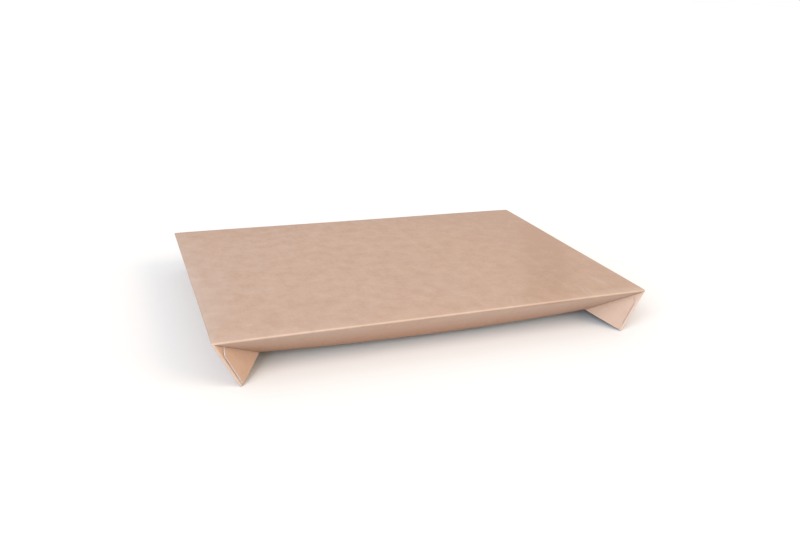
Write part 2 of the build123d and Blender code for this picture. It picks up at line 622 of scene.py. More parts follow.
def linked(name: str, data: bpy.types.ID) -> bpy.types.Object:
    """New object that shows the data, linked into the scene."""
    made = bpy.data.objects.new(name, data)
    bpy.context.scene.collection.objects.link(made)
    return made


def even(start: float, stop: float, step: float) -> Array:
    """Numbers from start to stop, both included, no more than a step apart."""
    return np.linspace(start, stop, max(int(np.ceil(abs(stop - start) / step)), 1) + 1)


def turned(first: Array, last: Array, shares: Array) -> Array:
    """Unit directions turned evenly from one to another.

    Args:
        first: Unit direction at share 0.
        last: Unit direction at share 1.
        shares: Shares of the turn.

    Returns:
        Directions sin((1 - t) w) / sin w * first + sin(t w) / sin w * last, with w the angle between them.
    """
    angle = acos(float(np.clip(first @ last, -1, 1)))
    shares = np.asarray(shares)[..., None]
    return (np.sin((1 - shares) * angle) * first + np.sin(shares * angle) * last) / sin(angle)


# ---------------------------------------------------------------- shader nodes


class Socket:
    """Output socket of a node, with Python's operators as Math nodes."""

    def __init__(self, graph: "Graph", socket: bpy.types.NodeSocket) -> None:
        """Keeps the graph and the socket."""
        self.graph, self.socket = graph, socket

    def math(self, operation: str, *values: Value) -> "Socket":
        """Result of a Math node on this and the other values."""
        inputs = dict(enumerate([self, *values]))
        return self.graph.node("ShaderNodeMath", {"operation": operation}, inputs)[0]

    def __add__(self, other: Value) -> "Socket":
        """This plus the other."""
        return self.math("ADD", other)

    def __sub__(self, other: Value) -> "Socket":
        """This less the other."""
        return self.math("SUBTRACT", other)

    def __mul__(self, other: Value) -> "Socket":
        """This times the other."""
        return self.math("MULTIPLY", other)

    def __truediv__(self, other: Value) -> "Socket":
        """This over the other."""
        return self.math("DIVIDE", other)

    __radd__ = __add__
    __rmul__ = __mul__

    def __rsub__(self, other: float) -> "Socket":
        """A number less this."""
        return (self * -1.0) + other

    def clamped(self) -> "Socket":
        """This held between 0 and 1."""
        return self.math("MAXIMUM", 0.0).math("MINIMUM", 1.0)

    def above(self, low: float, high: float) -> "Socket":
        """Smooth step from 0 at low to 1 at high."""
        return self.graph.node("ShaderNodeMapRange", {"interpolation_type": "SMOOTHSTEP"},
                               {"Value": self, "From Min": low, "From Max": high})["Result"]


class Outputs:
    """Outputs of one node, by name or number."""

    def __init__(self, graph: "Graph", node: bpy.types.Node) -> None:
        """Keeps the graph and the node."""
        self.graph, self.made = graph, node

    def __getitem__(self, key: Union[str, int]) -> Socket:
        """The output of that name or number."""
        return Socket(self.graph, self.made.outputs[key])


class Graph:
    """Node tree of one material."""

    def __init__(self, name: str) -> None:
        """Makes a material with an empty tree.

        Args:
            name: Name of the material.
        """
        self.material = bpy.data.materials.new(name)
        self.material.use_nodes = True
        self.tree = self.material.node_tree
        self.tree.nodes.clear()

    def node(self, kind: str, settings: dict, values: dict) -> Outputs:
        """Adds a node.

        Args:
            kind: Type of the node.
            settings: Its own settings, such as an operation.
            values: Values or sockets for its inputs, by name or number.

        Returns:
            Its outputs.
        """
        made = self.tree.nodes.new(kind)
        for key, setting in settings.items():
            setattr(made, key, setting)
        for key, value in values.items():
            if isinstance(value, Socket):
                self.tree.links.new(value.socket, made.inputs[key])
            else:
                made.inputs[key].default_value = value
        return Outputs(self, made)

    def mark(self, name: str) -> Socket:
        """Number kept at each vertex under that name."""
        return self.node("ShaderNodeAttribute", {"attribute_name": name}, {})["Fac"]

    def noise(self, place: Socket, scale: float, detail: float = 3.0, rough: float = 0.55) -> Socket:
        """Noise from 0 to 1 at that many waves per metre."""
        return self.node("ShaderNodeTexNoise", {}, {
            "Vector": place, "Scale": scale, "Detail": detail, "Roughness": rough})["Fac"]

    def stretched(self, place: Socket, factors: tuple[float, float, float]) -> Socket:
        """Places scaled by a factor along each axis."""
        return self.node("ShaderNodeMapping", {}, {"Vector": place, "Scale": factors})["Vector"]

    def mix(self, share: Value, first: Union[Socket, tuple], second: Union[Socket, tuple]) -> Socket:
        """Colour between two colours.

        Args:
            share: 0 for the first, 1 for the second.
            first: Colour or socket.
            second: Colour or socket.

        Returns:
            The mixed colour.
        """
        # Inputs 0, 6 and 7 of a Mix node are its factor and its two colours, and output 2 is its colour.
        return self.node("ShaderNodeMix", {"data_type": "RGBA"}, {0: share, 6: first, 7: second})[2]

    def bump(self, height: Socket, distance: float) -> Socket:
        """Normal of a surface that stands proud by height times distance, in metres."""
        return self.node("ShaderNodeBump", {}, {"Height": height, "Distance": distance})["Normal"]

    def finish(self, colour: Union[Socket, tuple], roughness: Value, normal: Union[Socket, None],
               **constants: float) -> bpy.types.Material:
        """Ends the tree in one Principled shader.

        Args:
            colour: Base colour.
            roughness: Roughness.
            normal: Bumped normal, or None.
            **constants: Other inputs, by name with _ for a space.

        Returns:
            The finished material.
        """
        values = {"Base Color": colour, "Roughness": roughness}
        values |= {key.replace("_", " "): value for key, value in constants.items()}
        if normal is not None:
            values["Normal"] = normal
        shader = self.node("ShaderNodeBsdfPrincipled", {}, values)
        self.node("ShaderNodeOutputMaterial", {}, {"Surface": shader["BSDF"]})
        return self.material


def rgb(red: float, green: float, blue: float) -> tuple[float, float, float, float]:
    """Opaque linear colour."""
    return red, green, blue, 1.0


# ---------------------------------------------------------------- finishes


@dataclass(frozen=True)
class Scuff:
    """Faint straight scuff on the base: x and y of its two ends, and half its width."""

    start: tuple[float, float]
    end: tuple[float, float]
    half_width: float

    def strength(self, axes: Outputs) -> Socket:
        """How much each place is rubbed by it, from 0 to 1.

        Args:
            axes: The place's X, Y and Z.

        Returns:
            4 s (1 - s) along it, with s from 0 at one end to 1 at the other, times 1 - distance / half width
            across it.
        """
        run = (self.end[0] - self.start[0], self.end[1] - self.start[1])
        length = hypot(*run)
        from_x, from_y = axes[0] - self.start[0], axes[1] - self.start[1]
        along = (from_x * run[0] + from_y * run[1]) / length ** 2
        aside = (from_y * run[0] - from_x * run[1]) / length
        fade = (along * (1.0 - along) * 4.0).clamped()
        return fade * (1.0 - aside.math("ABSOLUTE") / self.half_width).clamped()


SCUFFS = (
    Scuff((-0.180, -0.285), (0.155, -0.310), 2.2 * MM),
    Scuff((0.425, -0.310), (0.415, -0.390), 2.8 * MM),
    Scuff((0.435, -0.335), (0.430, -0.400), 2.5 * MM),
    Scuff((0.205, -0.330), (0.180, -0.390), 2.5 * MM),
    Scuff((0.220, -0.335), (0.200, -0.390), 2.0 * MM),
    Scuff((0.385, -0.285), (0.390, -0.325), 3.0 * MM),
    Scuff((0.495, -0.265), (0.510, -0.355), 14.0 * MM),
    Scuff((0.410, 0.385), (0.425, 0.330), 3.5 * MM),
)


class Grain:
    """Noises of a paper face, each from 0 to 1, and the washboard of the flutes under it."""

    CLOUDS, BLOTCHES, MOTTLE = 2.3, 26.0, 95.0
    FIBRES, STREAKS, FLECKS = (2600.0, 420.0, 1.0), (190.0, 6.0, 1.0), (900.0, 300.0, 1.0)

    def __init__(self, graph: Graph, place: Socket, sheet: Socket) -> None:
        """Makes the noises.

        Args:
            graph: Node tree to make them in.
            place: Place on the object.
            sheet: Place on the unfolded sheet, along the flutes and then across them.
        """
        across = graph.node("ShaderNodeSeparateXYZ", {}, {0: sheet})[1]
        self.rib = ((across * (2 * pi / Board.pitch)).math("COSINE") + 1.0) * 0.5
        self.clouds = graph.noise(place, self.CLOUDS, 4.0, 0.6)
        self.blotches = graph.noise(place, self.BLOTCHES, 3.0, 0.55)
        self.mottle = graph.noise(sheet, self.MOTTLE, 4.0, 0.65)
        self.fibres = graph.noise(graph.stretched(sheet, self.FIBRES), 1.0, 2.0, 0.6)
        self.streaks = graph.noise(graph.stretched(sheet, self.STREAKS), 1.0, 3.0, 0.6)
        self.flecks = graph.noise(graph.stretched(sheet, self.FLECKS), 1.0, 1.0, 0.5)

    def tone(self) -> Socket:
        """Uneven brown of the paper, around 0."""
        fine = (self.mottle - 0.5) * 1.15 + (self.fibres - 0.5) * 0.5
        return fine + (self.streaks - 0.5) * 0.8 + (self.blotches - 0.5) * 2.4


@dataclass(frozen=True)
class KraftFace:
    """Brown paper face of the board, with fibres, mottling and the flutes' faint washboard."""

    name: str
    warm: tuple = rgb(0.330, 0.208, 0.135)
    pink: tuple = rgb(0.328, 0.223, 0.172)
    dark: tuple = rgb(0.255, 0.152, 0.098)
    cream: tuple = rgb(0.420, 0.400, 0.390)
    shade: tuple = rgb(0.110, 0.055, 0.030)
    # Painted shade and warm bounce light, towards the long walls' cut edges and in the band across the base's
    # right end.
    warm_shade: tuple = rgb(0.220, 0.076, 0.016)
    base_heights: tuple[float, float] = (0.100, 0.115)
    # Place, slant and half width of a band of painted shade across the base's right end.
    band_place: float = 0.52
    band_slant: float = 0.6
    band_half: float = 0.11
    scuffs: tuple[Scuff, ...] = ()

    def paper(self, graph: Graph, grain: Grain, axes: Outputs) -> Socket:
        """Colour of the paper before the marks, with painted light and shade on the base.

        Args:
            graph: Node tree of the material.
            grain: Its noises.
            axes: The place's X, Y and Z.

        Returns:
            Two browns mixed by slow clouds. On the base, painted light and shade: pinker at its left and
            back, darker than the walls, darker at its back and right, and a faint darker, warmer band of
            painted shade across its right end. Over them the paper's tone and flecks.
        """
        on_base = axes[2].above(*self.base_heights)
        # Painted light on the base: pinker towards its left and back, where cool light falls from the left.
        pinkness = on_base * (axes[0] * -1.1 + axes[1] * 0.5 - 0.10) + 0.65
        colour = graph.mix(((grain.clouds - 0.5) * 1.4 + pinkness).clamped(), self.warm, self.pink)
        # Painted shade: a faint darker, warmer band slanting across the base's right end.
        aside = (axes[0] - axes[1] * self.band_slant - self.band_place) / self.band_half
        band = (1.0 - aside * aside).clamped() * on_base
        # Painted light and shade: the base is painted darker than the walls, darker towards its back and
        # right and lighter towards its front.
        slopes = axes[0].above(0.1, 0.6) * 0.15 + axes[1].above(0.2, 0.42) * 0.12
        depth = on_base * (axes[1] * 0.5 + axes[0] * 0.15 + slopes + 0.56) + band * 0.25
        depth = (depth + grain.tone() * 0.5 + (0.5 - grain.rib) * 0.06).clamped()
        colour = graph.mix(depth, colour, self.dark)
        colour = graph.mix(grain.flecks.above(0.70, 0.78) * 0.55, colour, self.dark)
        colour = graph.mix((1.0 - grain.flecks).above(0.72, 0.80) * 0.35, colour, self.cream)
        # The band of painted shade is warmed as well.
        colour = graph.mix(band * 0.08, colour, self.warm_shade)
        if self.scuffs:
            scuffed = sum(scuff.strength(axes) for scuff in self.scuffs)
            colour = graph.mix(scuffed * on_base * (grain.mottle * 0.3), colour, self.cream)
        return colour

    def used(self, graph: Graph, grain: Grain, colour: Socket) -> Socket:
        """Colour with its marks: paler along rubbed folds with painted highlights and bands of painted light,
        painted shade in the creases and beside raw edges, and painted shade with warm bounce light towards
        the long walls' cut edges.

        Args:
            graph: Node tree of the material.
            grain: Its noises.
            colour: Colour of the paper.

        Returns:
            The colour, with the mottle breaking up each mark.
        """
        # The marks in turn: wear with painted highlights and painted light, then painted shade, then painted
        # shade with warm bounce light.
        marks = (("wear_and_painted_light", 0.72, 1.2, 0.75, self.cream),
                 ("painted_shade", 0.85, 1.0, 0.85, self.shade),
                 ("painted_bounce_shade", 0.75, 0.6, 1.0, self.warm_shade))
        for name, level, unevenness, most, tint in marks:
            share = (graph.mark(name) * (level + (grain.mottle - 0.5) * unevenness)).clamped()
            colour = graph.mix(share * most, colour, tint)
        return colour

    def material(self) -> bpy.types.Material:
        """Builds the material: the paper with its marks, and a relief of ribs, fibres and dimples."""
        graph = Graph(self.name)
        sheet = graph.node("ShaderNodeUVMap", {"uv_map": "sheet"}, {})["UV"]
        place = graph.node("ShaderNodeTexCoord", {}, {})["Object"]
        axes = graph.node("ShaderNodeSeparateXYZ", {}, {0: place})
        grain = Grain(graph, place, sheet)
        colour = self.used(graph, grain, self.paper(graph, grain, axes))
        relief = graph.bump(grain.fibres * 0.6 + grain.mottle * 0.8 + grain.rib * 0.25, 0.06 * MM)
        roughness = (0.66 + (grain.mottle - 0.5) * 0.25 + (grain.fibres - 0.5) * 0.15).clamped()
        return graph.finish(colour, roughness, relief,
                            Specular_IOR_Level=0.3, Sheen_Weight=0.08, Sheen_Roughness=0.5)


@dataclass(frozen=True)
class PlainPaper:
    """Raw paper in two tones.

    Attributes:
        name: Name of the material.
        light: Paler tone.
        dull: Duller tone.
        scale: Waves of its noise per metre.
        detail: Detail of its noise.
        rough: Roughness of its noise.
        low: Noise up to which the paler tone stays whole.
        relief: Height of its fibres.
        roughness: Roughness of its surface.
    """

    name: str
    light: tuple
    dull: tuple
    scale: float
    detail: float
    rough: float
    low: float
    relief: float
    roughness: float

    def material(self) -> bpy.types.Material:
        """Builds the material: the two tones mixed by fine noise, with a fibrous relief."""
        graph = Graph(self.name)
        place = graph.node("ShaderNodeTexCoord", {}, {})["Object"]
        grain = graph.noise(place, self.scale, self.detail, self.rough)
        colour = graph.mix(grain.above(self.low, 0.7), self.light, self.dull)
        return graph.finish(colour, self.roughness, graph.bump(grain, self.relief), Specular_IOR_Level=0.2)


CUT_PAPER = PlainPaper("cut_paper", rgb(0.55, 0.49, 0.47), rgb(0.36, 0.30, 0.28), scale=900.0, detail=3.0,
                       rough=0.7, low=0.35, relief=0.08 * MM, roughness=0.9)
FLUTING_PAPER = PlainPaper("fluting_paper", rgb(0.58, 0.53, 0.52), rgb(0.44, 0.37, 0.35), scale=420.0,
                           detail=4.0, rough=0.65, low=0.3, relief=0.05 * MM, roughness=0.88)


# ---------------------------------------------------------------- sub-assemblies


@dataclass
class Tray:
    """The sheet's base, its two end walls with their flaps and its two long walls, all one run of board."""

    form: Form
    finishes: list[bpy.types.Material]
    arc_steps: int = 9
    turn_steps: int = 8
    end_step: float = 2.5 * MM
    corner_step: float = 4 * MM
    corner_reach: float = 34 * MM
    base_step: float = 60 * MM
    wall_step: float = 22 * MM
    first_row: float = 0.8 * MM
    mitre: float = 1.6 * MM
    tilt_reach: float = 8 * MM
    swell_reach: float = 60 * MM
    flap_top_gap: float = 0.6 * MM
    least_flap_top: float = 3 * MM
    least_flap: float = 0.4 * MM
    flap_shares: tuple[float, ...] = (0, 0.4, 0.7, 0.92, 1)
    most_open: float = 0.6
    end_row: float = 2 * MM
    cap_share: float = 0.98
    crease_shade: float = 2.3 * MM
    # Power of the painted shade and warm bounce light down a long wall.
    bounce_shade_power: float = 1.5
    wear: Wear = Wear()

    def base_lines(self) -> tuple[Array, Array]:
        """Lines of the base's grid.

        Returns:
            x of its columns and y of its rows: four rows to a flute, and columns that gather at the ends and
            meet the corners of the long walls.
        """
        form, pitch = self.form, self.form.board.pitch
        half, start = form.half_length, -form.crease_line[0]
        corner = even(-start, -half + self.corner_reach, self.corner_step)[1:]
        fine = np.concatenate([even(-half, -start, self.end_step), corner])
        coarse = even(fine[-1], -fine[-1], self.base_step)[1:-1]
        x = np.concatenate([fine, coarse, -fine[::-1]])
        rows = 2 * int(round(2 * form.half_width / pitch * 2))
        return x, np.linspace(-form.half_width, form.half_width, rows + 1)

    def roll(self, to_end: Array, to_side: Array) -> Array:
        """Rise of the base from its folds and corners.

        Args:
            to_end: Distances from the nearer end fold.
            to_side: Distances from the nearer long fold.

        Returns:
            Height roll * (1 - exp(-q)) + lift(to_end + to_side), with q the smaller of the two distances,
            each over its own roll's width. So the two rolls meet in a mitre.
        """
        form = self.form
        share = np.minimum(to_end / form.roll_widths[0], to_side / form.roll_widths[1])
        return form.roll * (1 - np.exp(-share)) + form.lift(to_end + to_side)

    def base(self, x: Array, y: Array) -> Patch:
        """Base: flat in the middle, rolled down towards its four folds, with mitres at the corners.

        Args:
            x: Columns.
            y: Rows.

        Returns:
            The patch, with a slow swell of two crossed waves that fades out towards the folds.
        """
        form = self.form
        rows, columns = np.meshgrid(y, x, indexing="ij")
        to_end, to_side = form.half_length - np.abs(columns), form.half_width - np.abs(rows)
        share = np.clip((to_side - to_end) / self.mitre * 0.5 + 0.5, 0, 1)
        near = np.minimum(to_end, to_side)
        slope = tan(form.tilt) * np.exp(-near / self.tilt_reach)
        fade = 1 - np.exp(-near / self.swell_reach)
        waves = np.sin(5.1 * columns + 1.3) * np.cos(7.3 * rows - 0.4) + 0.6 * np.sin(11 * columns - 6 * rows)
        rise = form.board.middle_radius * cos(form.tilt) + self.roll(to_end, to_side)
        height = form.centre[2] + rise + form.swell * fade ** 2 * waves
        middle = np.stack([columns, rows, height], -1)
        normal = np.stack([np.sign(columns) * slope * share, np.sign(rows) * slope * (1 - share),
                           np.ones_like(slope)], -1)
        normal /= np.linalg.norm(normal, axis=-1, keepdims=True)
        wear_and_painted_light = self.wear.on_base(form, columns, rows, to_end, to_side)
        return Patch(middle, normal, np.stack([columns, rows], -1), wear_and_painted_light=wear_and_painted_light)

    def end(self, y: Array) -> list[Patch]:
        """Left end: the fold and the wall.

        Args:
            y: Rows of the base.

        Returns:
            Two patches. Round the fold a point is centre + r (-sin a, 0, cos a), with a from the roll's tilt
            to the wall's own lean; the wall runs on from there.
        """
        form, radius = self.form, self.form.board.middle_radius
        last = pi / 2 + form.end_lean
        share, rows = np.meshgrid(np.linspace(0, 1, self.arc_steps), y, indexing="ij")
        angle = form.tilt + share * (last - form.tilt)
        out = np.stack([-np.sin(angle), 0 * rows, np.cos(angle)], -1)
        lift = form.lift(form.half_width - np.abs(rows))
        origin = np.stack([0 * rows + form.centre[0], rows, lift + form.centre[2]], -1)
        along = -form.half_length - radius * (angle - form.tilt)
        sealed = np.abs(rows) > form.half_width - CLOSE
        # The end fold's wear carries a painted highlight.
        fold = Patch(origin + radius * out, out, np.stack([along, rows], -1),
                     wear_and_painted_light=self.wear.end_fold * self.wear.fold.at(share), sealed=sealed)
        downs, rows = np.meshgrid(self.downs(), y, indexing="ij")
        wall = origin[-1] + radius * form.end_out + downs[..., None] * form.end_down
        wall[..., 2] -= lift[-1] * downs / form.end_wall
        flat = np.stack([along[-1, 0] - downs, rows], -1)
        # Wear at the top of the end wall, with a painted highlight beside the corner fold.
        at_corner = self.wear.corner_fold.at(form.half_width - np.abs(rows))
        wear_and_painted_light = np.maximum(self.wear.end_wall.at(downs), at_corner)
        return [fold, Patch(wall, form.end_out, flat, wear_and_painted_light=wear_and_painted_light)]

    def downs(self) -> Array:
        """Distances down an end wall at which its rows lie."""
        form = self.form
        return np.concatenate([[0, self.end_row], even(self.flap_top(), form.end_wall, self.wall_step)])

    def flap_top(self) -> float:
        """How far down the corner fold the flap begins."""
        form = self.form
        level = form.board.outer_radius
        ends = np.array([0, form.end_wall])
        widths = form.crease_width(ends, level) - form.flap_gap
        closed = float(-widths[0] * form.end_wall / (widths[1] - widths[0]))
        return max(closed, self.least_flap_top) + self.flap_top_gap

    def flap_width(self, down: Array) -> Array:
        """Width of the flap at each distance down, up to the long wall less a gap."""
        form = self.form
        width = form.crease_width(down, form.board.outer_radius) - form.flap_gap
        return np.maximum(width, self.least_flap)

    def flap(self, y_first: float) -> list[Patch]:
        """Front left flap: the turn of the corner fold, and the flap that the gusset is glued to.

        Args:
            y_first: The end wall's first row.

        Returns:
            Two patches: round the axis down the corner, then across towards the crease. The second one's
            columns gather at the gusset's raw edge.
        """
        form, radius = self.form, self.form.board.middle_radius
        downs = self.downs()
        shares = np.linspace(0, 1, self.turn_steps)
        out = turned(form.end_out, form.gusset_out, shares)
        axis = form.corner + downs[:, None] * form.end_down
        turn = acos(float(form.end_out @ form.gusset_out))
        start = -form.half_length - radius * (pi / 2 + form.end_lean - form.tilt)
        along, across = np.meshgrid(start - downs, y_first - radius * turn * shares, indexing="ij")
        top = (downs < self.flap_top() + CLOSE)[:, None]
        # The corner fold's wear carries a painted highlight.
        fold = Patch(axis[:, None] + radius * out[None], out[None], np.stack([along, across], -1),
                     wear_and_painted_light=self.wear.corner_turn.at(shares), sealed=top)
        lower = downs[2:]
        widths = self.flap_width(lower)
        edge = np.minimum(form.raw_edge(lower), self.most_open * widths)
        parts = [share * edge for share in self.flap_shares]
        reach = np.stack([*parts, (edge + widths) / 2, widths], -1)
        # Painted shadow: a dark line on the flap beside the gusset's raw edge.
        painted_shade = self.wear.line.at(reach - edge[:, None]) * (lower[:, None] > form.slit_down)
        middle = form.on_gusset(lower[:, None], reach, radius)
        flat = np.stack([start - lower[:, None] + 0 * reach, across[0, -1] - reach], -1)
        # Wear with a painted highlight beside the corner fold.
        wear_and_painted_light = self.wear.corner_fold.at(reach)
        hidden = (reach == widths[:, None]) | (lower[:, None] < lower[0] + CLOSE)
        return [fold, Patch(middle, form.gusset_out, flat, wear_and_painted_light=wear_and_painted_light, painted_shade=painted_shade, sealed=hidden)]

    def side(self, x: Array, wear_share: float) -> list[Patch]:
        """Front: the fold and the long wall.

        Args:
            x: Columns of the base.
            wear_share: How much of the front's wear and painted light there is.

        Returns:
            Two patches. The wall's lean changes along its length, so its cut edge bows.
        """
        form, radius = self.form, self.form.board.middle_radius
        last = pi / 2 + form.lean_along(x)
        share, columns = np.meshgrid(np.linspace(0, 1, self.arc_steps), x, indexing="ij")
        angle = form.tilt + share * (last - form.tilt)
        out = np.stack([0 * columns, -np.sin(angle), np.cos(angle)], -1)
        lift = form.lift(form.half_length - np.abs(columns))
        origin = np.stack([columns, 0 * columns + form.centre[1], lift + form.centre[2]], -1)
        turn = radius * (pi / 2 + form.long_lean - form.tilt)
        sealed = np.abs(columns) > -form.crease_line[0] - CLOSE
        # The long fold's wear carries a painted highlight.
        fold = Patch(origin + radius * out, out, np.stack([columns, -form.half_width - turn * share], -1),
                     wear_and_painted_light=wear_share * self.wear.fold.at(share), sealed=sealed)
        return [fold, self.long_wall(x, -form.half_width - turn, wear_share)]

    def long_wall(self, x: Array, flat_top: float, wear_share: float) -> Patch:
        """Front wall: its columns close in to follow the diagonal creases.

        Args:
            x: Columns of the base.
            flat_top: Place of its top on the unfolded sheet, across the flutes.
            wear_share: How much of the front's wear and painted light there is.

        Returns:
            The patch, with painted shade along the creases, and painted shade and warm bounce light towards
            its cut edge.
        """
        form = self.form
        start, slope = form.crease_line
        inside = x[np.abs(x) <= -start + TINY]
        step = form.board.pitch / 4
        downs = np.concatenate([[0, self.first_row], even(step, form.long_wall, step)])
        down, column = np.meshgrid(downs, inside, indexing="ij")
        column = column * (start + slope * down) / start
        lean = form.lean_along(column)
        out = np.stack([0 * column, -np.cos(lean), -np.sin(lean)], -1)
        into = np.stack([0 * column, np.sin(lean), -np.cos(lean)], -1)
        lift = form.lift(form.half_length - np.abs(inside)) * (1 - down / form.long_wall)
        origin = np.stack([column, 0 * column + form.centre[1], lift + form.centre[2]], -1)
        to_crease = (-(start + slope * down) - np.abs(column)) * sin(form.crease_angle)
        return Patch(
            origin + form.board.middle_radius * out + down[..., None] * into, out,
            np.stack([column, flat_top - down], -1),
            # Wear with a painted highlight at the wall's top, and a wider band of painted light below it.
            wear_and_painted_light=wear_share * (self.wear.wall_top.at(down) + self.wear.wall.at(down)),
            # Painted shade along the creases.
            painted_shade=np.exp(-to_crease / self.crease_shade),
            # Painted shade and warm bounce light, growing down to the cut edge.
            painted_bounce_shade=(down / form.long_wall) ** self.bounce_shade_power,
            sealed=to_crease < CLOSE)

    def cap(self) -> Patch:
        """Front left corner of the board, where its end fold and its long fold meet.

        Returns:
            A patch of a ball between the open sides of the two folds, from the base down.
        """
        form, radius = self.form, self.form.board.middle_radius
        steps = np.linspace(0, 1, self.arc_steps)
        end_angle = form.tilt + steps * (pi / 2 + form.end_lean - form.tilt)
        long_angle = form.tilt + steps * (pi / 2 + form.long_lean - form.tilt)
        end_side = np.stack([-np.sin(end_angle), 0 * steps, np.cos(end_angle)], -1)
        long_side = np.stack([0 * steps, -np.sin(long_angle), np.cos(long_angle)], -1)
        blend = np.linspace(0, 1, self.arc_steps)[None, :, None]
        out = end_side[:, None] * (1 - blend) + long_side[:, None] * blend
        out /= np.linalg.norm(out, axis=-1, keepdims=True)
        shift = radius * sin(form.tilt) * np.concatenate([-blend, -(1 - blend), 0 * blend], -1)
        middle = form.centre + shift + radius * out
        flat = np.stack([middle[..., 0], middle[..., 1]], -1)
        # Wear with a painted highlight on the corner.
        return Patch(middle, out, flat, wear_and_painted_light=self.wear.cap, sealed=True)

    def build(self) -> list[bpy.types.Object]:
        """Makes the tray and its four corner caps.

        Returns:
            The pieces.
        """
        form, board = self.form, self.form.board
        x, y = self.base_lines()
        patches = [self.base(x, y)]
        patches += [patch.mirrored(side, 1) for side in (1, -1) for patch in self.end(y)]
        for side, wear_share in ((1, 1.0), (-1, self.wear.back)):
            patches += [patch.mirrored(1, side) for patch in self.side(x, wear_share)]
        patches += [patch.mirrored(i, j) for i in (1, -1) for j in (1, -1) for patch in self.flap(y[0])]
        caps = [self.cap().mirrored(i, j) for i in (1, -1) for j in (1, -1)]
        tray = Slab(patches, board.thickness, board, board.open_depth, True)
        corners = Slab(caps, board.thickness * self.cap_share, board)
        return [tray.build("tray_board", self.finishes), corners.build("corner_caps", self.finishes)]


@dataclass
class Gusset:
    """End of a long wall, folded back at the diagonal crease and glued over the flap."""

    form: Form
    finishes: list[bpy.types.Material]
    x_side: int
    y_side: int
    name: str
    slit_gap: float = 0.4 * MM
    turn_gap: float = 0.1 * MM
    line_steps: int = 9
    turn_steps: int = 10
    crease_shade: float = 2.0 * MM

    def face(self) -> Patch:
        """Gusset: four rows to a flute, and columns that gather at its raw edge and at its crease."""
        form = self.form
        down = even(form.slit_down + self.slit_gap, form.end_wall, form.board.pitch / 4)
        level = form.gusset_level + form.board.half
        edge, crease = form.raw_edge(down), form.crease_width(down, level)
        share = np.concatenate([[0, 0.03, 0.08], np.linspace(0.15, 0.9, 8), [0.95, 1.0]])
        across = edge[:, None] + (crease - edge)[:, None] * share
        middle = form.on_gusset(down[:, None], across, form.gusset_level)
        start, slope = form.crease_line
        turn = form.board.middle_radius * (pi / 2 + form.long_lean - form.tilt)
        flat = np.stack([start + slope * down[:, None] - (crease[:, None] - across),
                         -form.half_width - turn - down[:, None] + 0 * across], -1)
        # Painted shade along the diagonal crease.
        painted_shade = np.exp(-(crease[:, None] - across) * sin(form.crease_angle) / self.crease_shade)
        return Patch(middle, form.gusset_out, flat, painted_shade=painted_shade, sealed=(share == 1)[None])

    def turn(self) -> Patch:
        """Turn of board behind the crease, from the back of the long wall to the back of the gusset."""
        form = self.form
        ends = np.array([form.crease_at(form.slit_down), form.crease_at(form.end_wall)])
        line = ends[0] + np.linspace(0, 1, self.line_steps)[:, None] * (ends[1] - ends[0])
        back = turned(-form.long_out, -form.gusset_out, np.linspace(0, 1, self.turn_steps))
        radius = form.board.half + self.turn_gap
        middle = line[:, None] + radius * back[None]
        flat = np.stack([middle[..., 0], middle[..., 2]], -1)
        return Patch(middle, back[None], flat, sealed=True)

    def ribbon(self, flutes: "Flutes") -> Patch:
        """Waved layer in the raw edge."""
        face = self.face().mirrored(self.x_side, self.y_side)
        into = self.form.gusset_in * np.array([self.x_side, self.y_side, 1])
        return flutes.ribbon(face.middle[:, 0], face.out[0, 0], into, face.flat[:, 0, 1],
                             self.form.board.torn_depth)

    def build(self) -> list[bpy.types.Object]:
        """Makes the gusset and its turn, which shows the inner paper all round.

        Returns:
            The pieces.
        """
        board = self.form.board
        face = self.face().mirrored(self.x_side, self.y_side)
        turn = self.turn().mirrored(self.x_side, self.y_side)
        inner = [self.finishes[Side.INNER.value]] * len(Side)
        face_slab = Slab([face], board.thickness, board, board.torn_depth, True)
        turn_slab = Slab([turn], board.thickness, board)
        return [face_slab.build(f"gusset_{self.name}", self.finishes),
                turn_slab.build(f"gusset_turn_{self.name}", inner)]


